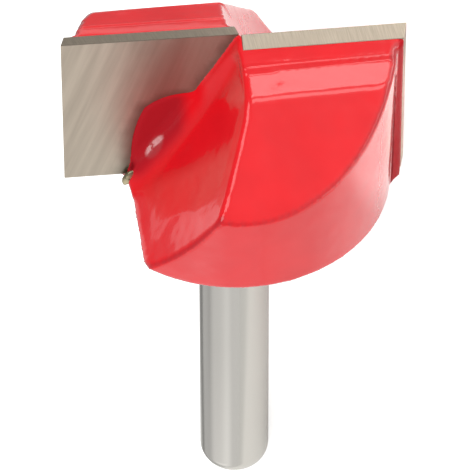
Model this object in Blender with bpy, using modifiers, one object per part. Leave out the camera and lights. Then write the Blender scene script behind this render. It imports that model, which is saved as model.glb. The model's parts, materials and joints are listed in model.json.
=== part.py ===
"""Surfacing router bit: a red two-wing head and its shank, turned from one bar, with two carbide plates.

The bit is drawn upright: z runs from the head's underside up to the cutting edges, x runs along the
cutting edges and the axis is at x = y = 0. Wing one holds the long plate, towards -x, and cuts towards -y.
Wing two is the same turned half a turn. At the end the whole bit is laid down the way it comes to rest.
"""

import bmesh
import bpy
from math import asin, cos, pi, radians, sin, tan
from mathutils import Matrix, Vector

MM = 0.001

# Cutting circle and plates
CUT_DIAMETER = 38.1 * MM
TIP_HEIGHT = 22.05 * MM  # cutting edges above the underside of the head, at the axis
DISH = radians(0.4)  # the cutting edges rise outwards
PLATE_THICKNESS = 1.9 * MM
PLATE_HEIGHT = 20.45 * MM
RAKE_BACK = 0.05 * MM  # each plate's face lies this far behind the axis
LONG_REACH = 0.62 * MM  # the long plate runs past the axis, so that the middle is cut too
PLATE_GAP = 0.18 * MM  # between the ends of the two plates
PLATE_HEEL = 11.9 * MM  # inner end of a plate's bottom edge, from the axis
THROAT = (4.35 * MM, 13.5 * MM)  # foot of the plate's slanting inner edge: from the axis, above the head
SHOULDER = (9.9 * MM, 11.73 * MM)  # corner between the two round stretches of the inner edge
HEEL_TOP = (11.43 * MM, 3.4 * MM)
THROAT_BULGE = 0.66 * MM
SHOULDER_BULGE = 0.53 * MM
TOP_RELIEF = radians(17)
SIDE_RELIEF = radians(14)

# Head
HEAD_DIAMETER = 34.5 * MM  # at the underside
HEAD_OFFSET = (0.13 * MM, -0.53 * MM)  # the head's wall is that much out of true with the shank
WALL_DRAFT = radians(1.3)  # the wall leans out towards the cutting end
RIM_EDGE = 0.35 * MM
LAND_LENGTH = 2.0 * MM  # raised land behind a plate, along the top
LAND_STEP = 0.15 * MM
RELIEF_LENGTH = (7.65 * MM, 8.5 * MM)  # from the axis to where the back of wing one and of wing two falls away
BACK_SLOPE = (radians(47.5), radians(42.6))
CREST_RADIUS = (0.8 * MM, 3.0 * MM)
RIB_LENGTH = 0.4 * MM  # raised land behind the plate of wing two, on the wall
RIB_SLOPE = radians(46)
RIB_FOOT = 0.5 * MM
RIB_HEAD = 0.2 * MM  # its blank stops this far below the cutting edges

# Gullets
FLUTE_FOOT = 12.05 * MM  # from the axis, at the underside
FLUTE_HEAD = (0.28 * MM, 19.4 * MM)  # top of the curved flank: past the axis, above the underside
FLUTE_BULGE = 0.97 * MM
FLANK_TURN = radians(2.0)  # in plan, the flank runs in towards the axis by this
FLUTE_FILLET = 2.4 * MM
FACE_PROUD = 0.25 * MM  # the steel round a plate stands this far in front of its face
HEEL_WALL = 12.0 * MM  # upright wall below the inner end of a plate, from the axis
HEEL_FILLET = 1.9 * MM

# Brazed seats
BRAZE_THICKNESS = 0.10 * MM
BRAZE_CLEARANCE = 0.05 * MM
EDGE_CLEARANCE = 0.10 * MM  # round a plate's edges
SEAT_LEDGE = 0.3 * MM  # the steel below a plate stands this far forward of its seat

# Shank
SHANK_DIAMETER = 8.0 * MM
SHANK_LENGTH = 46.4 * MM  # below the head
SHANK_END_RADIUS = 2.5 * MM
NECK_RADIUS = 1.5 * MM

SPIN_STEPS = 96
ARC_STEPS = 8
SPARE = 3.0 * MM  # how far a cutter runs past what it cuts

CUT_RADIUS = CUT_DIAMETER / 2
FAR = CUT_RADIUS + 2 * SPARE
PLATE_FOOT = TIP_HEIGHT - PLATE_HEIGHT
SHORT_STOP = LONG_REACH + PLATE_GAP
SEAT_DEPTH = PLATE_THICKNESS + BRAZE_THICKNESS + 2 * BRAZE_CLEARANCE


def collection(name):
    made = bpy.data.collections.new(name)
    bpy.context.scene.collection.children.link(made)
    return made


def material(name, colour, metallic, roughness):
    made = bpy.data.materials.new(name)
    made.use_nodes = True
    shader = made.node_tree.nodes["Principled BSDF"]
    shader.inputs["Base Color"].default_value = (*colour, 1)
    shader.inputs["Metallic"].default_value = metallic
    shader.inputs["Roughness"].default_value = roughness
    made.diffuse_color = (*colour, 1)
    return made


def place(name, mesh, folder, finish=None):
    made = bpy.data.objects.new(name, mesh)
    folder.objects.link(made)
    if finish:
        mesh.materials.append(finish)
    if folder is cutters:
        made.hide_render = True
        made.display_type = "WIRE"
    return made


def arc(start, end, bulge, steps=ARC_STEPS):
    """Points on a round arc from start to end that bulges to the left of that way; the end is left out."""
    start, end = Vector(start), Vector(end)
    chord = end - start
    half = chord.length / 2
    radius = (half * half + bulge * bulge) / (2 * abs(bulge))
    side = Vector((-chord.y, chord.x)).normalized() * (1 if bulge > 0 else -1)
    centre = start + chord / 2 - side * (radius - abs(bulge))
    opening = 2 * asin(half / radius)
    turn = -opening if bulge > 0 else opening
    spoke = start - centre
    return [centre + Matrix.Rotation(turn * i / steps, 2) @ spoke for i in range(steps)]


def corner(centre, radius, first, last, steps=ARC_STEPS):
    """Points round a corner from the angle first to the angle last, both ends included."""
    angles = [first + (last - first) * i / steps for i in range(steps + 1)]
    return [(centre[0] + radius * cos(a), centre[1] + radius * sin(a)) for a in angles]


def aside(points, distance):
    """The same open outline moved to its right by a distance."""
    points = [Vector(p) for p in points]
    normals = []
    for a, b in zip(points, points[1:]):
        way = (b - a).normalized()
        normals.append(Vector((way.y, -way.x)))
    moved = [points[0] + normals[0] * distance]
    for p, n, m in zip(points[1:], normals, normals[1:]):
        moved.append(p + (n + m) * distance / (1 + n.dot(m)))
    moved.append(points[-1] + normals[-1] * distance)
    return moved


def slab(name, outline, near, far, folder, finish=None, upright=True):
    """A flat outline given thickness: (x, z) points between y = near and y = far, or (x, y) points in z."""
    curve = bpy.data.curves.new(name, "CURVE")
    curve.dimensions = "2D"
    curve.fill_mode = "BOTH"
    curve.extrude = abs(far - near) / 2
    spline = curve.splines.new("POLY")
    spline.points.add(len(outline) - 1)
    for point, xy in zip(spline.points, outline):
        point.co = (xy[0], xy[1], 0, 1)
    spline.use_cyclic_u = True
    flat = bpy.data.objects.new(name, curve)
    bpy.context.scene.collection.objects.link(flat)
    mesh = bpy.data.meshes.new_from_object(flat.evaluated_get(bpy.context.evaluated_depsgraph_get()))
    mesh.name = name
    bpy.data.objects.remove(flat)
    stand = Matrix.Rotation(pi / 2, 4, "X") if upright else Matrix.Identity(4)
    slide = Vector((0, 1, 0) if upright else (0, 0, 1)) * (near + far) / 2
    shaped = bmesh.new()
    shaped.from_mesh(mesh)
    bmesh.ops.remove_doubles(shaped, verts=shaped.verts, dist=1e-7)
    bmesh.ops.dissolve_limit(shaped, angle_limit=radians(0.1), verts=shaped.verts, edges=shaped.edges)
    bmesh.ops.transform(shaped, matrix=Matrix.Translation(slide) @ stand, verts=shaped.verts)
    bmesh.ops.recalc_face_normals(shaped, faces=shaped.faces)
    shaped.to_mesh(mesh)
    shaped.free()
    mesh.shade_flat()
    return place(name, mesh, folder, finish)


def turned(name, profile, folder, finish=None):
    """A profile of (radius, z) points, from the top down its outer side, turned about the axis."""
    mesh = bpy.data.meshes.new(name)
    points = [(r, 0, z) for r, z in profile]
    mesh.from_pydata(points, [(i, i + 1) for i in range(len(points) - 1)], [])
    made = place(name, mesh, folder, finish)
    spin = made.modifiers.new("spin", "SCREW")
    spin.axis = "Z"
    spin.steps = spin.render_steps = SPIN_STEPS
    spin.use_smooth_shade = False
    spin.use_merge_vertices = True
    spin.merge_threshold = 1e-6
    return made


def turned_half(source, name):
    """The same cutter half a turn round the axis, sharing its mesh and its modifiers."""
    made = source.copy()
    made.name = name
    source.users_collection[0].objects.link(made)
    made.matrix_world = Matrix.Rotation(pi, 4, "Z") @ source.matrix_world
    return made


def join(target, other, operation):
    step = target.modifiers.new(other.name, "BOOLEAN")
    step.operation = operation
    step.solver = "EXACT"
    step.material_mode = "TRANSFER"
    step.object = other
    return step


def plate_edge(end, clearance=0.0):
    """The inner edge of wing one's plate, from the tip down to its bottom edge and out along it."""
    slant = (TIP_HEIGHT - THROAT[1]) / (LONG_REACH + THROAT[0])
    top = (end, TIP_HEIGHT + SPARE)
    meets = (end, TIP_HEIGHT - (LONG_REACH - end) * slant)
    edge = [top, meets] if end < LONG_REACH else [(LONG_REACH, TIP_HEIGHT + SPARE), (LONG_REACH, TIP_HEIGHT)]
    edge += arc((-THROAT[0], THROAT[1]), (-SHOULDER[0], SHOULDER[1]), -THROAT_BULGE)
    edge += arc((-SHOULDER[0], SHOULDER[1]), (-HEEL_TOP[0], HEEL_TOP[1]), -SHOULDER_BULGE)
    edge += [(-HEEL_TOP[0], HEEL_TOP[1]), (-PLATE_HEEL, PLATE_FOOT), (-FAR, PLATE_FOOT)]
    return aside(edge, -clearance) if clearance else [Vector(p) for p in edge]


def plate(name, end, near, far, finish, grinds, turn):
    """A plate or its braze, ground off along the top and the outer side, on wing one or half a turn on."""
    made = slab(name, [*plate_edge(end), (-FAR, TIP_HEIGHT + SPARE)], near, far, parts, finish)
    made.rotation_euler.z = turn
    for block in grinds:
        join(made, block, "DIFFERENCE")
    return made


def grind(name, edge_point, turn):
    """A block whose face is a relief plane through a cutting edge of wing one."""
    bpy.ops.mesh.primitive_cube_add(size=4 * FAR)
    block = bpy.context.object
    block.name = name
    for folder in block.users_collection:
        folder.objects.unlink(block)
    cutters.objects.link(block)
    block.hide_render = True
    block.display_type = "WIRE"
    block.matrix_world = Matrix.Translation(edge_point) @ turn
    return block


def solid(thing):
    """Volume and centre of an object as it is evaluated, in world space."""
    seen = thing.evaluated_get(bpy.context.evaluated_depsgraph_get())
    shaped = bmesh.new()
    shaped.from_mesh(seen.data)
    shaped.transform(seen.matrix_world)
    bmesh.ops.triangulate(shaped, faces=shaped.faces)
    volume, moment = 0.0, Vector()
    for face in shaped.faces:
        a, b, c = (v.co for v in face.verts)
        wedge = a.dot(b.cross(c)) / 6
        volume += wedge
        moment += wedge * (a + b + c) / 4
    points = [v.co.copy() for v in shaped.verts]
    shaped.free()
    return volume, moment / volume, points


def resting_face(points, centre, towards):
    """The outward normal of the face of the convex hull that the bit lies on, on its side towards a gullet."""
    hull = bmesh.new()
    for p in points:
        hull.verts.new(p)
    bmesh.ops.convex_hull(hull, input=hull.verts)
    bmesh.ops.dissolve_limit(hull, angle_limit=radians(0.05), verts=hull.verts, edges=hull.edges)
    bmesh.ops.recalc_face_normals(hull, faces=hull.faces)
    best, down = None, None
    for face in hull.faces:
        normal = face.normal
        if normal.dot(towards) < 0.7 or normal.z > -0.1:
            continue
        foot = centre - normal * (centre - face.verts[0].co).dot(normal)
        inside = all(
            (loop.link_loop_next.vert.co - loop.vert.co).cross(foot - loop.vert.co).dot(normal) > 0
            for loop in face.loops
        )
        height = (face.verts[0].co - centre).dot(normal)
        if inside and (best is None or height < best):
            best, down = height, normal.copy()
    hull.free()
    return down


for thing in list(bpy.data.objects):
    bpy.data.objects.remove(thing)

parts = collection("surfacing_router_bit")
cutters = collection("cutters")

enamel = material("red enamel", (0.80, 0.035, 0.04), 0.0, 0.18)
ground_steel = material("ground steel", (0.62, 0.61, 0.58), 1.0, 0.32)
carbide = material("ground carbide", (0.45, 0.42, 0.38), 1.0, 0.38)
solder = material("silver solder", (0.66, 0.60, 0.46), 1.0, 0.42)

# Head blank, with the wall leaning out and a small edge at the rim
head_radius = HEAD_DIAMETER / 2
blank_top = TIP_HEIGHT
blank = [
    (0, blank_top),
    (head_radius + blank_top * tan(WALL_DRAFT), blank_top),
    (head_radius + RIM_EDGE * tan(WALL_DRAFT), RIM_EDGE),
    *corner((head_radius - RIM_EDGE, RIM_EDGE), RIM_EDGE, -0.1, -pi / 2, 3),
    (0, 0),
]
body = turned("cutter_body", blank, parts, enamel)
body.location = (*HEAD_OFFSET, 0)
body.data.materials.append(ground_steel)

# Shank, with a neck fillet under the head and a round end
shank_radius = SHANK_DIAMETER / 2
shank_profile = [
    (0, SPARE),
    (shank_radius + NECK_RADIUS, SPARE),
    *[(r, z) for r, z in corner((shank_radius + NECK_RADIUS, -NECK_RADIUS), NECK_RADIUS, pi / 2, pi, 4)],
    *corner(
        (shank_radius - SHANK_END_RADIUS, SHANK_END_RADIUS - SHANK_LENGTH),
        SHANK_END_RADIUS, 0, -pi / 2,
    ),
    (0, -SHANK_LENGTH),
]
shank = turned("shank_blank", shank_profile, cutters, ground_steel)

# Raised rib on the wall behind the plate of wing two, at +x
rib_inner = head_radius - SPARE
rib_start = -(PLATE_THICKNESS + RAKE_BACK) - RIB_LENGTH
rib_outer = CUT_RADIUS - (-RAKE_BACK - rib_start) * tan(SIDE_RELIEF)
rib_drop = (rib_outer - rib_inner) * tan(RIB_SLOPE)
rib_outline = [
    (rib_inner, -RAKE_BACK),
    (rib_inner, rib_start - rib_drop),
    (rib_outer, rib_start),
    (CUT_RADIUS, -RAKE_BACK),
]
rib = slab("rib_two", rib_outline, RIB_FOOT, TIP_HEIGHT - RIB_HEAD, cutters, enamel, upright=False)

# Back of the wings: a raised land, the relief, a soft crest and the falling back, drawn towards -y
def relief_at(y, drop=0.0):
    return (y, TIP_HEIGHT + (y + RAKE_BACK) * tan(TOP_RELIEF) - drop)


def wing_back(name, relief_length, slope, crest_radius, turn):
    land_end = -(PLATE_THICKNESS + RAKE_BACK) - LAND_LENGTH
    crest = Vector(relief_at(-relief_length, LAND_STEP))
    half_turn = (slope - TOP_RELIEF) / 2
    middle = pi / 2 + (slope + TOP_RELIEF) / 2
    centre = crest - Vector((cos(middle), sin(middle))) * crest_radius / cos(half_turn)
    outline = [
        relief_at(SPARE),
        relief_at(land_end),
        relief_at(land_end - LAND_STEP, LAND_STEP),
        *corner(centre, crest_radius, middle - half_turn, middle + half_turn, 5),
        (-FAR, crest.y - (FAR - relief_length) * tan(slope)),
        (-FAR, TIP_HEIGHT + SPARE),
        (SPARE, TIP_HEIGHT + SPARE),
    ]
    made = slab(name, outline, -FAR, FAR, cutters, enamel)
    made.data.transform(Matrix.Rotation(turn, 4, "Z") @ dishing @ Matrix.Rotation(pi / 2, 4, "Z"))
    return made


axis_top = Vector((0, 0, TIP_HEIGHT))
dishing = Matrix.Translation(axis_top) @ Matrix.Rotation(-DISH, 4, "Y") @ Matrix.Translation(-axis_top)
back_one = wing_back("back_one", RELIEF_LENGTH[0], BACK_SLOPE[0], CREST_RADIUS[0], pi)
back_two = wing_back("back_two", RELIEF_LENGTH[1], BACK_SLOPE[1], CREST_RADIUS[1], 0)

# Gullet in front of wing one, with the round fillet between its flank and the face of the wing
flank = arc((-FLUTE_FOOT, 0), FLUTE_HEAD, -FLUTE_BULGE, 2 * ARC_STEPS)
first = (flank[1] - flank[0]).normalized()
flank = [flank[0] - first * SPARE, *flank, Vector(FLUTE_HEAD), Vector((FLUTE_HEAD[0], TIP_HEIGHT + SPARE))]
face_at = RAKE_BACK - FACE_PROUD
flute_outline = [*flank, (-FAR, TIP_HEIGHT + SPARE), (-FAR, flank[0].y)]
flute = slab("gullet_one", flute_outline, -FAR, face_at, cutters, enamel)
weights = flute.data.attributes.new("bevel_weight_edge", "FLOAT", "EDGE")
for edge in flute.data.edges:
    ends = [flute.data.vertices[i].co for i in edge.vertices]
    deep = all(abs(p.y - face_at) < 1e-6 for p in ends)
    on_flank = all(p.x > flank[0].x - 1e-6 for p in ends)
    weights.data[edge.index].value = 1.0 if deep and on_flank else 0.0
lean = Matrix.Identity(4)
lean[0][1] = -tan(FLANK_TURN)
flute.data.transform(lean)
rounding = flute.modifiers.new("fillet", "BEVEL")
rounding.limit_method = "WEIGHT"
rounding.width = FLUTE_FILLET
rounding.segments = 5
flute_two = turned_half(flute, "gullet_two")

# Seats of the plates, open to the front, to the side and at the top
seat_far = SEAT_DEPTH + RAKE_BACK
seat_outline = [*plate_edge(LONG_REACH, EDGE_CLEARANCE), (-FAR, TIP_HEIGHT + SPARE)]
seat_one = slab("seat_long", seat_outline, -FAR / 2, seat_far, cutters, enamel)
short_outline = [*plate_edge(-SHORT_STOP, EDGE_CLEARANCE), (-FAR, TIP_HEIGHT + SPARE)]
seat_two = slab("seat_short", short_outline, -FAR / 2, seat_far, cutters, enamel)
seat_two.rotation_euler.z = pi

# Room under a plate, with an upright fillet at its heel
heel_far = seat_far - SEAT_LEDGE
heel_centre = (-HEEL_WALL - HEEL_FILLET, heel_far - HEEL_FILLET)
heel_outline = [
    (-FAR, -FAR / 2),
    (-HEEL_WALL, -FAR / 2),
    *corner(heel_centre, HEEL_FILLET, 0, pi / 2, 5),
    (-FAR, heel_far),
]
heel = slab("heel_one", heel_outline, -SPARE, PLATE_FOOT, cutters, enamel, upright=False)
heel_two = turned_half(heel, "heel_two")

for other in (rib, shank):
    join(body, other, "UNION")
for other in (back_two, back_one, flute, flute_two, seat_one, seat_two, heel, heel_two):
    join(body, other, "DIFFERENCE")

# Carbide plates and their braze, drawn for wing one; the short ones are turned half a turn
edge_top = Vector((0, RAKE_BACK, TIP_HEIGHT))
edge_side = Vector((-CUT_RADIUS, RAKE_BACK, 0))
lift = Matrix.Translation((0, 0, 2 * FAR))
push = Matrix.Translation((-2 * FAR, 0, 0))
top_turn = Matrix.Rotation(DISH, 4, "Y") @ Matrix.Rotation(-TOP_RELIEF, 4, "X")
top_grind = grind("top_grind", edge_top, top_turn @ lift)
side_grind = grind("side_grind", edge_side, Matrix.Rotation(-SIDE_RELIEF, 4, "Z") @ push)
grinds_one = [top_grind, side_grind]
grinds_two = [turned_half(block, block.name + "_two") for block in grinds_one]

plate_back = PLATE_THICKNESS + RAKE_BACK
braze_near = plate_back + BRAZE_CLEARANCE
braze_far = braze_near + BRAZE_THICKNESS
tips = []
for side, end, grinds, turn in (("long", LONG_REACH, grinds_one, 0), ("short", -SHORT_STOP, grinds_two, pi)):
    tips.append(plate("carbide_tip_" + side, end, RAKE_BACK, plate_back, carbide, grinds, turn))
    tips.append(plate("braze_seam_" + side, end, braze_near, braze_far, solder, grinds, turn))

# Lay the bit down on the gullet of wing two, shank along -x, with the origin under the middle of its box
whole = [body, *tips]
measures = [solid(thing) for thing in whole]
points = [p for _, _, cloud in measures for p in cloud]
centre = sum((v * c for v, c, _ in measures), Vector()) / sum(v for v, _, _ in measures)
gullet_way = Vector((cos(pi / 6), sin(pi / 6), 0))
down = resting_face(points, centre, gullet_way)
along = (Vector((0, 0, 1)) - down * down.z).normalized()
lay = Matrix((along, along.cross(down), -down)).to_4x4()
laid = [lay @ p for p in points]
low = Vector(min(p[i] for p in laid) for i in range(3))
high = Vector(max(p[i] for p in laid) for i in range(3))
rest = bpy.data.objects.new("resting_frame", None)
parts.objects.link(rest)
for thing in [*parts.objects, *cutters.objects]:
    if thing is not rest:
        thing.parent = rest
rest.matrix_world = Matrix.Translation((-(low.x + high.x) / 2, -(low.y + high.y) / 2, -low.z)) @ lay
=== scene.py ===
import json
from math import atan2, cos, pi, radians, sin, tan

import bmesh
import bpy
from mathutils import Matrix, Vector, noise


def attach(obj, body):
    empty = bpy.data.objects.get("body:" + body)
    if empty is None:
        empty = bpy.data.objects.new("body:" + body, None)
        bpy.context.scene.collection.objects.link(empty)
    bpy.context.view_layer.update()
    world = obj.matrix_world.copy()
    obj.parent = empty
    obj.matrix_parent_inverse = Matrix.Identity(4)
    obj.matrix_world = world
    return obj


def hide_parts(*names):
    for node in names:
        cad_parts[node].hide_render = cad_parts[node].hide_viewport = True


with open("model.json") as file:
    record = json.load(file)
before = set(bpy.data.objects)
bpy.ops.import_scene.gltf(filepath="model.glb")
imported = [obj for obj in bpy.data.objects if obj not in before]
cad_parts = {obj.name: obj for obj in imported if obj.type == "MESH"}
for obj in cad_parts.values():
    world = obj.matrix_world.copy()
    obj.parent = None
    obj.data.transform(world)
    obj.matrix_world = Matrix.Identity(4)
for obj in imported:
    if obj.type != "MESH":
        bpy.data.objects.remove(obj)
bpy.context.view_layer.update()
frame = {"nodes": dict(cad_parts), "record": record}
mm = 0.001
sameCorner = 0.002 * mm  # corners this close are one
onCut = 0.0001 * mm  # and a vertex this close to a cut lies on it

# The bit's own frame: z up its axis from the underside of the head, x along the cutting edges, and the
# long plate towards -x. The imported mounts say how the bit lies.
mounts = {mount["name"]: mount for mount in frame["record"]["mounts"]}
bitUp = -Vector(mounts["head_underside"]["axis"]).normalized()
bitBack = -Vector(mounts["rake_face_long"]["axis"]).normalized()
bitRight = bitBack.cross(bitUp).normalized()
underside = Vector(mounts["head_underside"]["pos_m"])
shankEnd = Vector(mounts["shank_end_face"]["pos_m"])
bitOrigin = shankEnd + bitUp * (underside - shankEnd).dot(bitUp)
bit = Matrix((bitRight, bitBack, bitUp)).transposed().to_4x4()
bit.translation = bitOrigin
# settings of a mapping node that turns the scene's coordinates into the bit's own
bitSpace = {"vector_type": "TEXTURE", "Location": bitOrigin, "Rotation": bit.to_euler()}


def linear(hexColour):
    # sRGB hex to the linear colour that a shader takes
    parts = [int(hexColour[i:i + 2], 16) / 255 for i in (1, 3, 5)]
    return (*(c / 12.92 if c <= 0.04045 else ((c + 0.055) / 1.055) ** 2.4 for c in parts), 1)


def shades(stops):
    # a colour ramp's stops, with their hex colours turned to linear
    return [(place, linear(colour)) for place, colour in stops]


def rise(value, start, end):
    # 0 before start, 1 after end, smooth between them
    part = min(max((value - start) / (end - start), 0), 1)
    return part * part * (3 - 2 * part)


def between(value, start, full, fading, end):
    # 1 from full to fading, 0 before start and after end
    return rise(value, start, full) * (1 - rise(value, fading, end))


def node(tree, kind, feeds=(), stops=(), **settings):
    # a shader node, new or already there: settings go by attribute or by socket name, feeds are pairs of a
    # socket and the node, output or value for it, and stops are a colour ramp's places and colours
    made = tree.nodes.new(kind) if isinstance(kind, str) else kind
    for name, value in settings.items():
        if hasattr(made, name):
            setattr(made, name, value)
        else:
            made.inputs[name.replace("_", " ")].default_value = value
    for socket, source in feeds:
        if isinstance(source, bpy.types.Node):
            source = source.outputs[0]
        if isinstance(source, bpy.types.NodeSocket):
            tree.links.new(source, made.inputs[socket])
        else:
            made.inputs[socket].default_value = source
    for place, colour in stops[1:-1]:
        made.color_ramp.elements.new(place)
    for number, (place, colour) in enumerate(stops):
        made.color_ramp.elements[number].position = place
        made.color_ramp.elements[number].color = colour
    return made


def newMaterial(name):
    made = bpy.data.materials.new(name)
    made.use_nodes = True
    tree = made.node_tree
    spot = node(tree, "ShaderNodeTexCoord").outputs["Object"]
    return made, tree, tree.nodes["Principled BSDF"], spot


def everything(shaped):
    return [*shaped.verts, *shaped.edges, *shaped.faces]


def toolMesh(nodeName):
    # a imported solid's mesh in the bit's own frame, with the corners that the file format split joined again
    mesh = frame["nodes"][nodeName].data.copy()
    mesh.transform(bit.inverted())
    shaped = bmesh.new()
    shaped.from_mesh(mesh)
    bmesh.ops.remove_doubles(shaped, verts=shaped.verts, dist=sameCorner)
    return mesh, shaped


def keep(shaped, mesh):
    # the edited mesh, written back
    shaped.to_mesh(mesh)
    shaped.free()
    return mesh


shownPieces = []


def show(name, mesh, finish, slot, *replaced):
    # a piece with its finish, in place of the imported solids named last
    made = bpy.data.objects.new(name, mesh)
    bpy.context.scene.collection.objects.link(made)
    mesh.materials.clear()
    mesh.materials.append(finish)
    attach(made, "root")
    if replaced:
        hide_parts(*replaced)
    shownPieces.append(made)
    return made


def applied(made):
    # the object's mesh with its modifiers worked in
    bpy.context.view_layer.update()
    seen = made.evaluated_get(bpy.context.evaluated_depsgraph_get())
    mesh = bpy.data.meshes.new_from_object(seen)
    made.modifiers.clear()
    made.data = mesh
    return mesh


# Stoved red enamel on the head: thick gloss paint, so edges look soft and reflections run a little wavy.
# Beside a plate, in corners, on the rib and along the wall's rim it is darkened with painted shade, and its
# gloss is dull there.
enamelLook = {
    "shades": ((0.35, "#E8151F"), (0.65, "#F01721")),
    # colours of painted shade: a middling one, and the deepest
    "paintedShade": "#B61F29",
    "deepestShade": "#6E0810",
    "deepShadeAt": 0.6,  # of the painted shade, from which the colour goes on to the deepest shade colour
    "patchSize": 5.0 * mm,
    "roughness": 0.2,
    "coatRoughness": 0.05,
    "ior": 1.5,
    "specular": 0.5,  # the usual level, where the paint isn't dull
    "dullCoat": 0.02,
    "rippleSize": 2.6 * mm,
    "rippleDepth": 0.06 * mm,
    "peelSize": 0.35 * mm,  # orange peel
    "peelDepth": 0.003 * mm,
}
enamel, tree, shader, spot = newMaterial("stovedRedEnamel")
inBit = node(tree, "ShaderNodeMapping", [("Vector", spot)], **bitSpace)
patches = node(tree, "ShaderNodeTexNoise", [("Vector", inBit)], Scale=1 / enamelLook["patchSize"], Detail=2)
tint = node(tree, "ShaderNodeValToRGB", [("Fac", patches)], stops=shades(enamelLook["shades"]))
# painted shade, from the mesh: the higher it is, the darker the red
paintedShade = node(tree, "ShaderNodeAttribute", attribute_name="paintedShade").outputs["Fac"]
someway = node(tree, "ShaderNodeMapRange", [("Value", paintedShade)], From_Max=enamelLook["deepShadeAt"])
allTheWay = node(tree, "ShaderNodeMapRange", [("Value", paintedShade)], From_Min=enamelLook["deepShadeAt"])
# a mix of colours has its two colours at inputs 6 and 7 and gives the result at output 2
shadedPaint = node(tree, "ShaderNodeMix", [("Factor", someway), (6, tint), (7, linear(enamelLook["paintedShade"]))],
             data_type="RGBA")
deepestShade = node(tree, "ShaderNodeMix", [("Factor", allTheWay), (6, shadedPaint.outputs[2]),
                                        (7, linear(enamelLook["deepestShade"]))], data_type="RGBA")
ripple = node(tree, "ShaderNodeTexNoise", [("Vector", inBit)], Scale=1 / enamelLook["rippleSize"], Detail=1)
peel = node(tree, "ShaderNodeTexNoise", [("Vector", inBit)], Scale=1 / enamelLook["peelSize"], Detail=2)
wavy = node(tree, "ShaderNodeBump", [("Height", ripple)], Distance=enamelLook["rippleDepth"])
peeled = node(tree, "ShaderNodeBump", [("Height", peel), ("Normal", wavy)],
              Distance=enamelLook["peelDepth"])
dull = node(tree, "ShaderNodeAttribute", attribute_name="dull").outputs["Fac"]
coat = node(tree, "ShaderNodeMapRange", [("Value", dull)], To_Min=1.0, To_Max=enamelLook["dullCoat"])
specular = node(tree, "ShaderNodeMath", [(0, coat), (1, enamelLook["specular"])], operation="MULTIPLY")
node(tree, shader, [("Base Color", deepestShade.outputs[2]), ("Normal", peeled), ("Coat Normal", peeled),
                    ("Coat Weight", coat), ("Specular IOR Level", specular)],
     Roughness=enamelLook["roughness"], IOR=enamelLook["ior"], Coat_IOR=enamelLook["ior"],
     Coat_Roughness=enamelLook["coatRoughness"])

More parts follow.
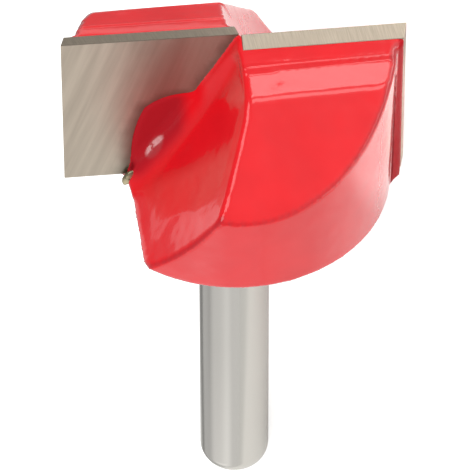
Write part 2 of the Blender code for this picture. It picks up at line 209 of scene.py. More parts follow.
headLook = {
    "grain": 0.25 * mm,  # size of the cells that round the edges
    "grainTurn": Matrix.Rotation(radians(35), 4, Vector((1, 0.6, 0.3))),  # keeps steps off the long edges
    "smoothing": 0.5,  # how far one pass takes a vertex towards the middle of its neighbours
    "rounding": 12,  # passes, as in the three lines below
    "rimRounding": 4,
    "footRounding": 16,
    "crestRounding": 8,
    "paintEnd": -1.5 * mm,  # the paint stops where the neck meets the shank
    "sagSize": 4.5 * mm,
    "sagDepth": 0.03 * mm,
    "wallSag": 0.4,  # and this share of it on the wall
    # the wall round the head, and which of the mesh belongs to it: by how far it looks outwards, and by
    # its distance from the true wall
    "wallRadius": 17.25 * mm,
    "wallDraft": radians(1.3),
    "wallCentre": Vector((0.13, -0.53, 0)) * mm,
    "wallFacing": (0.955, 0.985),
    "wallNear": (-0.16 * mm, -0.1 * mm, 0.04 * mm, 0.08 * mm),
    "wallFoot": 0.6 * mm,
    "wallTrued": 0.03 * mm,  # the wall is pushed out to its true radius by this at most
    "wallShell": 1.0 * mm,  # the gullet's painted shade keeps this far from the wall
    # the plates
    "plateBack": 1.95 * mm,  # behind the axis
    "plateFoot": 1.6 * mm,
    "plateEnd": 17.5 * mm,
    "plateSunk": 0.1 * mm,  # the paint closes up to a plate this far below its faces
    "plateInnerSunk": 0.15 * mm,  # and this far from its inner side
    "plateFilled": 0.25 * mm,  # and fills the seam behind it as far as this
    "plateMiddle": 1.0 * mm,  # a plate's corners behind this belong to its back
    "plateNear": 0.3 * mm,  # and those this near to its top or foot to that
    "facesProud": 0.2 * mm,  # the wings' faces stand this far in front of the axis
    "facesPainted": 0.05 * mm,  # and look nearly level with the plates under the paint
    "facesNear": 0.01 * mm,
    # the wings' tops
    "topHeight": 22.05 * mm,
    "topFacing": 0.8,
    "topNear": 0.8 * mm,
    "relief": radians(17),
    "wingReach": 17.0 * mm,
    "landLength": 2.0 * mm,
    "landSkew": 0.5 * mm,  # the near wing's land is that much longer beside the axis
    "landLift": 0.24 * mm,  # the paint stands higher at its far edge
    "landStep": 0.15 * mm,  # the steel is this much lower behind a land
    "stepFill": 0.15 * mm,  # and the paint fills that step
    "stepWidth": 0.15 * mm,
    "nearStep": (1.85 * mm, 2.1 * mm),  # from where to where behind the plate that fill grows
    "farStep": (1.85 * mm, 2.2 * mm, 2.2 * mm, 5.5 * mm),  # and on the far wing ends again
    # per wing, near and far: how far behind the axis its back falls away in the steel, how steeply and with
    # what crest radius, and how much further back the painted crest lies at the inner and the outer end
    "backs": {1: (8.5 * mm, radians(42.6), 3.0 * mm, -0.63 * mm, -1.15 * mm),
              -1: (7.65 * mm, radians(47.5), 0.8 * mm, 0.45 * mm, -0.05 * mm)},
    "backStart": 4.0 * mm,
    "backEnd": 16.5 * mm,
    "backInner": -0.2,  # of the wing's reach, from which the moved crest slants to the outer end
    "backFade": (0.5 * mm, 3.0 * mm),  # the move dies out this far below the back
    # painted shade and dull paint round the gullet's heel and its fillet
    "mattAt": 0.5,  # of the painted shade, from which paint is wholly dull
    "besidePlate": (-1.0 * mm, -0.5 * mm, 0.5 * mm, 1.9 * mm),
    "heelShade": 0.6,
    "heelStart": (4.5 * mm, 6.5 * mm),
    "heelHeight": (1.0 * mm, 3.0 * mm, 12.8 * mm, 14.0 * mm),
    "heelFace": 0.45 * mm,  # up to this far in front, painted shade deeper still on what doesn't face the front
    "heelDeeper": 0.6,
    "heelFacing": (0.6, 0.95),
    "filletStart": (2.5 * mm, 4.0 * mm),
    "filletHeight": (1.0 * mm, 3.0 * mm, 14.5 * mm, 16.0 * mm),
    # painted shade on the rib beside the near wing's plate, and in the corner at its foot
    "ribShade": 0.47,
    "ribProud": (0.06 * mm, 0.2 * mm),
    "ribBack": -4.0 * mm,
    "ribTop": 17.5 * mm,
    "ribNear": 0.3 * mm,
    "cornerShade": 0.8,
    "cornerPlace": -3.5 * mm,
    "cornerWidth": (0.12 * mm, 0.3 * mm),
    # painted shade along the wall's rim, deeper where the edge turns sharply: which of the mesh is rim, and
    # how sharp its turn is
    "rimBand": (-0.7 * mm, 0.06 * mm),
    "rimFacing": 0.96,
    "rimTurn": (-cos(radians(6)), -cos(radians(16))),
    "rimFoot": 0.3 * mm,
    "rimShade": 0.5,
    # the rounded edge at the foot, and the crests of the near wing's back
    "footHeight": 0.9 * mm,
    "footStart": 8.0 * mm,
    "footLevel": (-0.995, 0.03 * mm),
    "footSide": (-0.5 * mm, 0.97),
    "crestBack": -4.5 * mm,
    "crestFoot": 1.0 * mm,
    "crestTurn": cos(radians(8)),
    "crestInside": 0.9 * mm,
    # a run of paint that stayed glossy in the corner
    "run": Vector((-8.93, -0.43, 6.08)) * mm,
    "runWay": Vector((0.45, 0, 0.89)),
    "runSize": (2.0 * mm, 0.75 * mm),
    "runHeight": 0.025 * mm,
    "runReach": 1.2 * mm,
    "runGloss": (0.7, 1),
    "dimpleSize": 0.35 * mm,
    "dimpleDepth": 0.05 * mm,
    "dimpleStretch": 3,
}


def wallAt(place):
    # the way outwards from the wall's centre, how far the place is from it, and the wall's radius there
    spoke = place - headLook["wallCentre"]
    spoke.z = 0
    return spoke.normalized(), spoke.length, headLook["wallRadius"] + place.z * sin(headLook["wallDraft"])


def landPaint(place, wing, behind):
    # how much higher than the steel the paint stands on a land and on the step behind it
    if wing < 0:
        return headLook["stepFill"] * between(behind, *headLook["farStep"])
    landEnd = headLook["landLength"] + headLook["landSkew"] * (1 - place.x / headLook["wingReach"])
    over = 1 - rise(behind, landEnd, landEnd + headLook["stepWidth"])
    filled = headLook["stepFill"] * rise(behind, *headLook["nearStep"])
    return (headLook["landLift"] * min(behind / landEnd, 1) + filled) * over


def backHeight(behind, crest, steep, radius):
    # height of a wing's back against the top of its land, with the crest rounded
    relief = headLook["relief"]
    tangent = radius * tan((steep - relief) / 2)
    start, end = crest - tangent * cos(relief), crest + tangent * cos(steep)
    if behind <= start:
        return -behind * tan(relief)
    if behind >= end:
        return -crest * tan(relief) - (behind - crest) * tan(steep)
    centre = start - radius * sin(relief)
    return -start * tan(relief) - radius * cos(relief) + (radius ** 2 - (behind - centre) ** 2) ** 0.5


def crestMove(place):
    # how far the surface rises or falls where the painted crest isn't over the one in the steel
    wing = 1 if place.y < 0 else -1
    behind = abs(place.y)
    crest, steep, radius, inner, outer = headLook["backs"][wing]
    height = backHeight(behind, crest, steep, radius)
    depth = headLook["topHeight"] - headLook["landStep"] + height - place.z
    if not headLook["backStart"] <= behind <= headLook["backEnd"] or depth > headLook["backFade"][1]:
        return 0
    outwards = min(max(place.x * wing / headLook["wingReach"], headLook["backInner"]), 1)
    moved = crest + inner + (outer - inner) * outwards
    drop = -moved * tan(headLook["relief"]) - backHeight(headLook["backEnd"], crest, steep, radius)
    turned = atan2(drop, headLook["backEnd"] - moved)
    return (backHeight(behind, moved, turned, radius) - height) * (1 - rise(depth, *headLook["backFade"]))


mesh, shaped = toolMesh("cutter_body")
bmesh.ops.bisect_plane(shaped, geom=everything(shaped), dist=onCut, plane_co=(0, 0, headLook["paintEnd"]),
                       plane_no=(0, 0, -1), clear_outer=True)
bmesh.ops.holes_fill(shaped, edges=[edge for edge in shaped.edges if edge.is_boundary])
for vertex in shaped.verts:
    if abs(abs(vertex.co.y) - headLook["facesProud"]) < headLook["facesNear"]:
        vertex.co.y *= headLook["facesPainted"] / headLook["facesProud"]
sunk, filled = headLook["plateSunk"], headLook["plateFilled"]
for nodeName, way in (("carbide_tip_long", -1), ("carbide_tip_short", 1)):
    # a plate drawn in from its outer faces and out into the steel behind it, so that no groove is left
    plateMesh, core = toolMesh(nodeName)
    for vertex in core.verts:
        x, y, z = vertex.co.x * way, -vertex.co.y * way, vertex.co.z
        top = z > headLook["topHeight"] - abs(y) * sin(headLook["relief"]) - headLook["plateNear"]
        foot = z < headLook["plateFoot"] + headLook["plateNear"]
        rear = y > headLook["plateMiddle"]
        x -= sunk if x > headLook["plateEnd"] else headLook["plateInnerSunk"]
        y += sunk + filled if rear else sunk
        z += sunk if foot else -sunk
        if rear and top:
            z -= filled * sin(headLook["relief"])
        vertex.co = Vector((x * way, -y * way, z))
    shaped.from_mesh(keep(core, plateMesh))
bmesh.ops.triangulate(shaped, faces=shaped.faces)
keep(shaped, mesh)
mesh.transform(headLook["grainTurn"])
head = show("enamelledHead", mesh, enamel, "red_enamel", "cutter_body")
grain = head.modifiers.new("paint", "REMESH")
grain.mode = "VOXEL"
grain.voxel_size = headLook["grain"]
soften = head.modifiers.new("rounding", "SMOOTH")
soften.factor = headLook["smoothing"]
soften.iterations = headLook["rounding"]
mesh = applied(head)
mesh.transform(headLook["grainTurn"].inverted())
shadeAttribute = mesh.attributes.new("paintedShade", "FLOAT", "POINT")
dullShade = mesh.attributes.new("dull", "FLOAT", "POINT")
runWay = headLook["runWay"]
runSide = Vector((runWay.z, 0, -runWay.x))
for vertex, normal in zip(mesh.vertices, [v.normal.copy() for v in mesh.vertices]):
    place = vertex.co.copy()
    outwards, reach, wall = wallAt(place)
    onWall = rise(normal.dot(outwards), *headLook["wallFacing"])
    onWall *= between(reach - wall, *headLook["wallNear"])
    if place.z > headLook["wallFoot"]:
        place += outwards * min(wall - reach, headLook["wallTrued"]) * onWall
    wing = 1 if place.x > 0 else -1  # the near wing is towards +x
    behind = -place.y * wing - headLook["plateBack"]
    topSurface = headLook["topHeight"] + place.y * wing * sin(headLook["relief"])
    if behind > 0 and abs(place.z - topSurface) < headLook["topNear"] and normal.z > headLook["topFacing"]:
        place.z += landPaint(place, wing, behind)
    place.z += crestMove(place)

    # where painted shade darkens the paint, and where its gloss is dull
    front = place.y * wing
    besidePlate = between(front, *headLook["besidePlate"]) if reach < wall - headLook["wallShell"] else 0
    heel = headLook["heelShade"] * besidePlate * rise(abs(place.x), *headLook["heelStart"])
    heel *= between(place.z, *headLook["heelHeight"])
    if front < headLook["heelFace"]:
        heel *= 1 + headLook["heelDeeper"] * (1 - rise(normal.y * wing, *headLook["heelFacing"]))
    fillet = besidePlate * rise(abs(place.x), *headLook["filletStart"])
    fillet *= between(place.z, *headLook["filletHeight"])
    onRib, inCorner = 0, 0
    if wing > 0 and headLook["ribBack"] < place.y < 0:
        onRib = rise(reach - wall, *headLook["ribProud"])
    if wing > 0 and abs(reach - wall) < headLook["ribNear"] and place.z < headLook["ribTop"]:
        inCorner = 1 - rise(abs(place.y - headLook["cornerPlace"]), *headLook["cornerWidth"])
    shade = max(heel, headLook["ribShade"] * onRib, headLook["cornerShade"] * inCorner)
    matt = max(min(shade / headLook["mattAt"], 1), fillet)

    # the run of paint, with a dimple in its middle
    off = place - headLook["run"]
    if abs(off.y) < headLook["runReach"]:
        along, across = off.dot(runWay), off.dot(runSide)
        away = ((along / headLook["runSize"][0]) ** 2 + (across / headLook["runSize"][1]) ** 2) ** 0.5
        middle = (along ** 2 / headLook["dimpleStretch"] + across ** 2) ** 0.5
        place += normal * headLook["runHeight"] * (1 - rise(away, 0, 1))
        place -= normal * headLook["dimpleDepth"] * (1 - rise(middle, 0, headLook["dimpleSize"]))
        matt *= rise(away, *headLook["runGloss"])
    shadeAttribute.data[vertex.index].value = shade
    dullShade.data[vertex.index].value = matt
    sag = headLook["sagDepth"] * noise.noise(vertex.co / headLook["sagSize"])
    vertex.co = place + normal * sag * (1 - onWall * (1 - headLook["wallSag"]))

shaped = bmesh.new()
shaped.from_mesh(mesh)
shaped.normal_update()
shadeLayer = shaped.verts.layers.float["paintedShade"]
rim, foot, crests, sharpness = [], [], [], {}
for vertex in shaped.verts:
    outwards, reach, wall = wallAt(vertex.co)
    facing = vertex.normal.dot(outwards)
    turn = min(vertex.normal.dot(edge.other_vert(vertex).normal) for edge in vertex.link_edges)
    if headLook["rimBand"][0] < reach - wall < headLook["rimBand"][1] and facing < headLook["rimFacing"]:
        rim.append(vertex)
        sharpness[vertex] = rise(-turn, *headLook["rimTurn"]) if vertex.co.z > headLook["rimFoot"] else 0
    level = vertex.normal.z < headLook["footLevel"][0] and vertex.co.z < headLook["footLevel"][1]
    onSide = reach - wall > headLook["footSide"][0] and facing > headLook["footSide"][1]
    if vertex.co.z < headLook["footHeight"] and reach > headLook["footStart"] and not level and not onSide:
        foot.append(vertex)
    onBack = vertex.co.y < headLook["crestBack"] and vertex.co.z > headLook["crestFoot"]
    if onBack and turn < headLook["crestTurn"] and reach - wall < -headLook["crestInside"]:
        crests.append(vertex)
# painted shade along the rim, from how sharply each corner and its neighbours turn
for vertex in rim:
    near = [sharpness.get(edge.other_vert(vertex), 0) for edge in vertex.link_edges]
    edgeShade = headLook["rimShade"] * (sharpness[vertex] + sum(near)) / (1 + len(near))
    vertex[shadeLayer] = max(vertex[shadeLayer], edgeShade)
for verts, passes in ((rim, "rimRounding"), (foot, "footRounding"), (crests, "crestRounding")):
    for step in range(headLook[passes]):
        bmesh.ops.smooth_vert(shaped, verts=verts, factor=headLook["smoothing"], use_axis_x=True,
                              use_axis_y=True, use_axis_z=True)
keep(shaped, mesh)
mesh.shade_smooth()
mesh.materials.clear()
mesh.materials.append(enamel)
print("head:", len(mesh.polygons), "faces under paint")


# Centreless ground tool steel on the shank: bright, with fine rings round it that draw its highlights out
# into soft bands. The real rings are a few hundredths of a millimetre wide, and these are drawn coarser,
# so that they show.
shankLook = {
    "radius": 3.99 * mm,
    "bottom": -46.38 * mm,
    "middle": -24.0 * mm,
    "top": -1.0 * mm,
    "endRadius": 2.5 * mm,
    "endSteps": 12,
    "facesRound": 160,
    "sharp": radians(50),
    "colour": "#C9C6C0",
    "roughness": 0.18,
    "ringSize": 0.12 * mm,
    "ringStretch": (0.05, 0.05, 1),
    "ringDepth": 0.0012 * mm,
}
steel, tree, shader, spot = newMaterial("centrelessGroundSteel")
inBit = node(tree, "ShaderNodeMapping", [("Vector", spot)], **bitSpace)
rings = node(tree, "ShaderNodeMapping", [("Vector", inBit)], Scale=shankLook["ringStretch"])
marks = node(tree, "ShaderNodeTexNoise", [("Vector", rings)], Scale=1 / shankLook["ringSize"], Detail=3)
ground = node(tree, "ShaderNodeBump", [("Height", marks)], Distance=shankLook["ringDepth"])
node(tree, shader, [("Normal", ground)], Base_Color=linear(shankLook["colour"]), Metallic=1,
     Roughness=shankLook["roughness"])

radius, endRadius, bottom = shankLook["radius"], shankLook["endRadius"], shankLook["bottom"]
profile = [(0, shankLook["top"]), (radius, shankLook["top"]), (radius, shankLook["middle"])]
for step in range(shankLook["endSteps"] + 1):
    angle = pi / 2 * step / shankLook["endSteps"]
    profile.append((radius - endRadius * (1 - cos(angle)), bottom + endRadius * (1 - sin(angle))))
profile.append((0, bottom))
shaped = bmesh.new()
line = [shaped.verts.new((across, 0, height)) for across, height in profile]
chain = [shaped.edges.new(pair) for pair in zip(line, line[1:])]
bmesh.ops.spin(shaped, geom=[*line, *chain], cent=(0, 0, 0), axis=(0, 0, 1), angle=2 * pi,
               steps=shankLook["facesRound"], use_merge=True, use_duplicate=False)
bmesh.ops.remove_doubles(shaped, verts=shaped.verts, dist=0.0005 * mm)
bmesh.ops.recalc_face_normals(shaped, faces=shaped.faces)
mesh = keep(shaped, bpy.data.meshes.new("groundShank"))
mesh.shade_smooth()
mesh.set_sharp_from_angle(angle=shankLook["sharp"])
show("groundShank", mesh, steel, "ground_steel")
print("shank:", len(mesh.polygons), "faces")


# Ground tungsten carbide on the plates' faces: warm grey, with steep slanting grinding streaks that spread
# its reflections. The real streaks are as fine as the wheel's grit, under 0.05 mm, and these are drawn
# coarser, so that they show.
plateLook = {
    "shades": ((0.3, "#BBAF9F"), (0.7, "#CFC3B2")),
    "roughness": 0.36,
    "streakSize": 0.16 * mm,
    "streakDepth": 0.0015 * mm,
    "streakSlant": radians(20),
    "streakStretch": (1, 1, 16),
    "shadeSize": 1.0 * mm,
    "edge": 0.07 * mm,  # honed off each edge
    "flat": radians(1),  # faces that turn less than this are one
    "shadeGrid": 0.5 * mm,  # spacing of the vertices that carry the painted shade
    "shadeCuts": (40, 44),  # to each side of the middle, across and up
    # line of the plate's inner side, across and up in millimetres
    "inner": ((-0.6, 22.1), (4.35, 13.5), (7.2, 13.1), (9.9, 11.73), (11.1, 7.6), (11.43, 3.4),
              (11.9, 1.6)),
    "shadedBand": (0.1 * mm, 2.3 * mm),  # painted shade darkens it this far from its inner side
    "axisShade": (8.0 * mm, 14.5 * mm),  # and painted shade darkens it slightly this far from the bit's axis
    # how dark that painted shade towards the axis is
    "tint": 0.6,
    "unevenSize": 1.5 * mm,
    "uneven": 0.35 * mm,
    # colour and strength of the painted shade
    "shadeColour": "#6C655A",
    "shadeStrength": 0.8,
    "reliefFacing": 0.6,
}
carbide, tree, shader, spot = newMaterial("groundTungstenCarbide")
inBit = node(tree, "ShaderNodeMapping", [("Vector", spot)], **bitSpace)
slant = node(tree, "ShaderNodeMapping", [("Vector", inBit)], vector_type="TEXTURE",
             Rotation=(0, plateLook["streakSlant"], 0), Scale=plateLook["streakStretch"])
marks = node(tree, "ShaderNodeTexNoise", [("Vector", slant)], Scale=1 / plateLook["streakSize"], Detail=4)
broad = node(tree, "ShaderNodeTexNoise", [("Vector", slant)], Scale=1 / plateLook["shadeSize"], Detail=4)
tint = node(tree, "ShaderNodeValToRGB", [("Fac", broad)], stops=shades(plateLook["shades"]))
ground = node(tree, "ShaderNodeBump", [("Height", marks)], Distance=plateLook["streakDepth"])
# painted shade from the mesh, mixed towards a dark grey
shadedBand = node(tree, "ShaderNodeAttribute", attribute_name="plateShade").outputs["Fac"]
partly = node(tree, "ShaderNodeMath", [(0, shadedBand), (1, plateLook["shadeStrength"])], operation="MULTIPLY")
shadedCarbide = node(tree, "ShaderNodeMix", [("Factor", partly), (6, tint), (7, linear(plateLook["shadeColour"]))],
             data_type="RGBA")
node(tree, shader, [("Base Color", shadedCarbide.outputs[2]), ("Normal", ground)], Metallic=1,
     Roughness=plateLook["roughness"])

# Tungsten carbide on the reliefs along a plate's edges, ground with a finer wheel: paler, and evenly
# streaked along the edge. These streaks too are drawn coarser than the grit.
reliefLook = {
    "shades": ((0.3, "#B3A695"), (0.7, "#C6B9A7")),
    "roughness": 0.34,
    "streakSize": 0.12 * mm,
    "streakTurn": radians(10),
    "streakStretch": (1, 20, 20),
}
relieved, tree, shader, spot = newMaterial("finelyGroundCarbide")
inBit = node(tree, "ShaderNodeMapping", [("Vector", spot)], **bitSpace)
across = node(tree, "ShaderNodeMapping", [("Vector", inBit)], vector_type="TEXTURE",
              Rotation=(0, 0, reliefLook["streakTurn"]), Scale=reliefLook["streakStretch"])
marks = node(tree, "ShaderNodeTexNoise", [("Vector", across)], Scale=1 / reliefLook["streakSize"], Detail=3)
tint = node(tree, "ShaderNodeValToRGB", [("Fac", marks)], stops=shades(reliefLook["shades"]))
node(tree, shader, [("Base Color", tint)], Metallic=1, Roughness=reliefLook["roughness"])


def gapToLine(place, start, end):
    # how far a place is from the straight line between two others
    along = min(max((place - start).dot(end - start) / (end - start).length_squared, 0), 1)
    return (place - start - (end - start) * along).length


innerSide = [Vector(corner) * mm for corner in plateLook["inner"]]
for nodeName, name, way in (("carbide_tip_long", "carbidePlateLong", -1),
                            ("carbide_tip_short", "carbidePlateShort", 1)):
    mesh, shaped = toolMesh(nodeName)
    bmesh.ops.dissolve_limit(shaped, angle_limit=plateLook["flat"], verts=shaped.verts,
                             edges=shaped.edges)
    plate = show(name, keep(shaped, mesh), carbide, "carbide", nodeName)
    edge = plate.modifiers.new("honedEdge", "BEVEL")
    edge.width = plateLook["edge"]
    edge.segments = 2
    edge.limit_method = "ANGLE"
    mesh = applied(plate)
    shaped = bmesh.new()
    shaped.from_mesh(mesh)
    for axis, cuts in zip((Vector((1, 0, 0)), Vector((0, 0, 1))), plateLook["shadeCuts"]):
        for step in range(-cuts, cuts):
            bmesh.ops.bisect_plane(shaped, geom=everything(shaped), dist=onCut,
                                   plane_co=axis * step * plateLook["shadeGrid"], plane_no=axis)
    keep(shaped, mesh)
    # painted shade: dark along the plate's inner side, and less dark near the bit's axis
    plateShade = mesh.attributes.new("plateShade", "FLOAT", "POINT")
    for vertex in mesh.vertices:
        place = Vector((vertex.co.x * way, vertex.co.z))
        nearest = min(gapToLine(place, start, end) for start, end in zip(innerSide, innerSide[1:]))
        uneven = plateLook["uneven"] * noise.noise(vertex.co / plateLook["unevenSize"])
        axisShade = plateLook["tint"] * (1 - rise(abs(vertex.co.x) + uneven, *plateLook["axisShade"]))
        plateShade.data[vertex.index].value = max(1 - rise(nearest + uneven, *plateLook["shadedBand"]), axisShade)
    mesh.shade_flat()
    mesh.materials.append(relieved)
    for face in mesh.polygons:
        lookingUp = face.normal.z > plateLook["reliefFacing"]
        onRelief = lookingUp or abs(face.center.x) > headLook["plateEnd"]
        face.material_index = int(onRelief and abs(face.normal.y) < plateLook["reliefFacing"])
    print("plate:", name, len(mesh.polygons), "faces")


# Silver solder that froze from the melt: small round beads of soft pale yellow metal, stained by the flux.
# The seams lie under the paint, and a bead shows at the foot of each plate.
solderLook = {
    "shades": ((0.3, "#3A342C"), (0.45, "#C9BE9C")),  # of the flux and the metal
    "fluxSize": 0.5 * mm,
    "roughness": 0.4,
    "seamMiddle": Vector((-9, 0, 12)) * mm,  # of the long plate's seam
    "seamShrink": 0.05,  # towards its middle, so that the paint covers it
    "bead": Vector((-11.85, -0.42, 1.5)) * mm,
    "size": Vector((0.6, 0.4, 1.15)) * mm,
    "lean": radians(30),
    "lumps": 0.12,  # of a bead's size, over a pattern this many times finer than its radius
    "lumpsFiner": 1.5,
    "sharp": radians(40),
}
solder, tree, shader, spot = newMaterial("silverSolder")
inBit = node(tree, "ShaderNodeMapping", [("Vector", spot)], **bitSpace)
flux = node(tree, "ShaderNodeTexNoise", [("Vector", inBit)], Scale=1 / solderLook["fluxSize"], Detail=3)
tint = node(tree, "ShaderNodeValToRGB", [("Fac", flux)], stops=shades(solderLook["shades"]))
node(tree, shader, [("Base Color", tint)], Metallic=1, Roughness=solderLook["roughness"])

lean = Matrix.Rotation(solderLook["lean"], 3, "Y")
middle = solderLook["seamMiddle"]
for nodeName, name, way in (("braze_seam_long", "solderLong", 1), ("braze_seam_short", "solderShort", -1)):
    mesh, shaped = toolMesh(nodeName)
    for vertex in shaped.verts:
        off = Vector((vertex.co.x - middle.x * way, 0, vertex.co.z - middle.z))
        vertex.co -= off * solderLook["seamShrink"]
    bead = bmesh.ops.create_icosphere(shaped, subdivisions=3, radius=1)
    for vertex in bead["verts"]:
        lump = 1 + solderLook["lumps"] * noise.noise(vertex.co * solderLook["lumpsFiner"])
        place = Vector(c * s * lump for c, s in zip(vertex.co, solderLook["size"]))
        place = lean @ place + solderLook["bead"]
        vertex.co = Vector((place.x * way, place.y * way, place.z))
    show(name, keep(shaped, mesh), solder, "silver_solder", nodeName)
    mesh.shade_smooth()
    mesh.set_sharp_from_angle(angle=solderLook["sharp"])
    print("solder:", name, len(mesh.polygons), "faces")


# A node's place is in its mesh, so the pieces' places go there too
for made in shownPieces:
    made.data.transform(bit)
print("pieces:", [made.name for made in shownPieces])


# Matt white paper under the bit: it has no gloss, and takes a soft shadow. In a studio such paper isn't lit
# evenly, which the eye sees only in what polished parts mirror, so painted light and shade set those levels
# here.
floorLook = {
    "size": 3.0,
    "colour": "#E4E4E2",
    "roughness": 0.9,
    "whiteness": 0.7,  # added for the camera alone
    "sheen": 0.08,  # a painted glow, added in what is mirrored
    # levels of painted light in what is mirrored, each from one place in millimetres to another: before and
    # behind the bit, in the foreground, and along the bit
    "behind": ((-10, 1.3), (50, 0.32)),
    "foreground": ((-45, 0.75), (-18, 1.0)),
    "lengthwise": ((0, 1), (8, 1), (14, 1.65), (25, 1.8), (33, 0.6), (41, 0.5), (47, 2.5), (53, 2.5),
                   (65, 0.8)),
    "brightest": 4.0,  # a colour ramp goes no higher than 1, so its levels are parts of this
}
paper, tree, shader, spot = newMaterial("mattWhitePaper")
path = node(tree, "ShaderNodeLightPath").outputs
place = node(tree, "ShaderNodeSeparateXYZ", [(0, spot)]).outputs
levels = []
for (start, low), (end, high) in (floorLook["behind"], floorLook["foreground"]):
    levels.append(node(tree, "ShaderNodeMapRange", [("Value", place["Y"])], interpolation_type="SMOOTHSTEP",
                       From_Min=start * mm, From_Max=end * mm, To_Min=low, To_Max=high))
length, brightest = floorLook["lengthwise"][-1][0], floorLook["brightest"]
along = node(tree, "ShaderNodeMapRange", [("Value", place["X"])], From_Max=length * mm)
steps = [(start / length, (level / brightest,) * 3 + (1,)) for start, level in floorLook["lengthwise"]]
ramp = node(tree, "ShaderNodeValToRGB", [("Fac", along)], stops=steps)
ramp.color_ramp.interpolation = "EASE"
lengthwise = node(tree, "ShaderNodeMath", [(0, ramp), (1, brightest)], operation="MULTIPLY")
crosswise = node(tree, "ShaderNodeMath", [(0, levels[0]), (1, levels[1])], operation="MULTIPLY")
level = node(tree, "ShaderNodeMath", [(0, crosswise), (1, lengthwise)], operation="MULTIPLY")
# painted light and shade on the paper, seen in reflections alone
reflected = node(tree, "ShaderNodeMix", [("Factor", path["Is Glossy Ray"]), ("A", 1.0), ("B", level)])
lighter = node(tree, "ShaderNodeVectorMath", [(0, linear(floorLook["colour"])[:3]), ("Scale", reflected)],
               operation="SCALE")
node(tree, shader, [("Base Color", lighter)], Roughness=floorLook["roughness"], Specular_IOR_Level=0.0)
sheen = node(tree, "ShaderNodeMath", [(0, path["Is Glossy Ray"]), (1, levels[0])], operation="MULTIPLY")
soft = node(tree, "ShaderNodeMath", [(0, sheen), (1, floorLook["sheen"])], operation="MULTIPLY")
shown = node(tree, "ShaderNodeMath", [(0, path["Is Camera Ray"]), (1, floorLook["whiteness"]), (2, soft)],
             operation="MULTIPLY_ADD")
glow = node(tree, "ShaderNodeEmission", [("Strength", shown)], Color=(1, 1, 1, 1))
lit = node(tree, "ShaderNodeAddShader", [(0, shader), (1, glow)])
node(tree, tree.nodes["Material Output"], [("Surface", lit)])
half = floorLook["size"] / 2
mesh = bpy.data.meshes.new("paperFloor")
corners = [(-half, -half, 0), (half, -half, 0), (half, half, 0), (-half, half, 0)]
mesh.from_pydata(corners, [], [(0, 1, 2, 3)])
mesh.materials.append(paper)
floor = bpy.data.objects.new("paperFloor", mesh)
bpy.context.scene.collection.objects.link(floor)
print("floor:", floorLook["size"], "m square")

# Soft light of the room. Each level changes from one value to another between two cosines of the angle to
# one direction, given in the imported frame. The first is for matt surfaces, the rest for mirrored light.
studioLook = {
    "key": ((0.75, -0.35, 0.55), -1, 1, 0.4, 1.12),
    "room": ((0, -1, 0), -0.6, 0.4, 0.17, 0.41),
    "side": ((-1, 0, 0), 0.1, 0.6, 0, 0.48),
    "ceiling": ((0, 0, 1), 0.25, 0.52, 1, 0.38),
    "glow": ((-0.86, -0.06, 0.5), 0.86, 0.98, 0, 0.48),
    "fill": ((0.67, -0.59, 0.46), 0.88, 0.98, 0, 0.1),
}
world = bpy.data.worlds.new("studio")
bpy.context.scene.world = world
world.use_nodes = True
tree = world.node_tree
path = node(tree, "ShaderNodeLightPath").outputs
way = node(tree, "ShaderNodeTexCoord").outputs["Generated"]
light = {}
for name, (towards, start, end, low, high) in studioLook.items():
    cosine = node(tree, "ShaderNodeVectorMath", [(0, way), (1, Vector(towards).normalized())],
                  operation="DOT_PRODUCT").outputs["Value"]
    light[name] = node(tree, "ShaderNodeMapRange", [("Value", cosine)],
                       interpolation_type="LINEAR" if name == "key" else "SMOOTHSTEP",
                       From_Min=start, From_Max=end, To_Min=low, To_Max=high)
walls = node(tree, "ShaderNodeMath", [(0, light["room"]), (1, light["side"])], operation="ADD")
shaded = node(tree, "ShaderNodeMath", [(0, walls), (1, light["ceiling"])], operation="MULTIPLY")
glows = node(tree, "ShaderNodeMath", [(0, light["glow"]), (1, light["fill"])], operation="ADD")
gloss = node(tree, "ShaderNodeMath", [(0, shaded), (1, glows)], operation="ADD")
soft = node(tree, "ShaderNodeMix", [("Factor", path["Is Glossy Ray"]), ("A", light["key"]), ("B", gloss)])
seen = node(tree, "ShaderNodeMath", [(0, path["Is Camera Ray"]), (1, path["Is Transmission Ray"])],
            operation="MAXIMUM")
strength = node(tree, "ShaderNodeMix", [("Factor", seen), ("A", soft), ("B", 1.0)])
node(tree, tree.nodes["Background"], [("Strength", strength)], Color=(1, 1, 1, 1))
print("room:", list(studioLook))

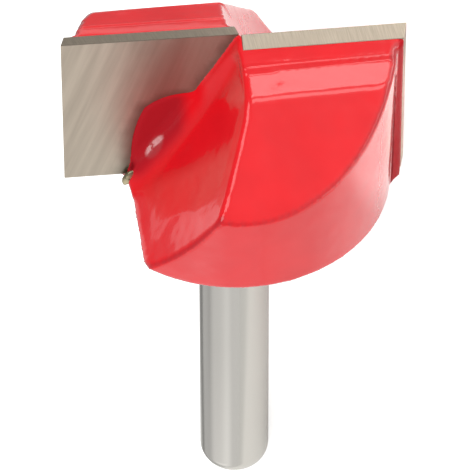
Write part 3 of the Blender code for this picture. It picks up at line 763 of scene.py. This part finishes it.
# Soft rectangular lamps round the bit, which give its gloss long highlights
lampLook = {
    "target": Vector((0, 0, 12)) * mm,  # in the head, in the bit's own frame
    "distance": 0.6,
    # per lamp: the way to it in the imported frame, its width and height, and its radiance
    "lamps": {
        "tallStrip": ((0.985, 0.095, 0.1), (0.1, 0.35), 2.5),
        "lowStrip": ((0.93, -0.27, 0.27), (0.15, 0.26), 1.8),
        "rearWindow": ((-0.30, 0.93, 0.2), (0.16, 0.12), 0.42),
        "smallLamp": ((-0.54, -0.42, 0.73), (0.09, 0.09), 4.0),
        "overheadBox": ((0.45, -0.05, 0.84), (0.3, 0.3), 1.9),
    },
}
target = bit @ lampLook["target"]
for name, (towards, (width, height), radiance) in lampLook["lamps"].items():
    lamp = bpy.data.lights.new(name, "AREA")
    lamp.shape = "RECTANGLE"
    lamp.size, lamp.size_y = width, height
    lamp.energy = radiance * pi * width * height
    made = bpy.data.objects.new(name, lamp)
    bpy.context.scene.collection.objects.link(made)
    made.location = target + Vector(towards).normalized() * lampLook["distance"]
    made.rotation_euler = (target - made.location).to_track_quat("-Z", "Y").to_euler()
print("lamps:", list(lampLook["lamps"]))

# The camera, fitted to the outline of the bit in the photo
view = {
    "turn": radians(5.7),  # the cutting edges are turned this far from the picture's horizontal
    "elevation": radians(45.84),
    "roll": radians(0.06),
    "sensor": 36,
    "focus": 5984 / 470,  # in widths of the picture
    "distance": 671.2 * mm,
    "right": 0.115 * mm,
    "up": -6.565 * mm,
    "clip": (0.01, 20),
}
photo = bit @ Matrix.Rotation(-view["turn"], 4, "Z")
ahead = Vector((0, cos(view["elevation"]), -sin(view["elevation"])))
right = Matrix.Rotation(view["roll"], 3, ahead) @ Vector((1, 0, 0))
up = right.cross(ahead)
stand = Matrix((right, up, -ahead)).transposed().to_4x4()
stand.translation = -ahead * view["distance"] + right * view["right"] + up * view["up"]
lens = bpy.data.cameras.new("photoCamera")
lens.sensor_width = view["sensor"]
lens.lens = view["focus"] * view["sensor"]
lens.clip_start, lens.clip_end = view["clip"]
camera = bpy.data.objects.new("photoCamera", lens)
bpy.context.scene.collection.objects.link(camera)
camera.matrix_world = photo @ stand
bpy.context.scene.camera = camera
bpy.context.scene.view_settings.view_transform = "Standard"
print("camera at", [round(c, 4) for c in camera.matrix_world.translation])
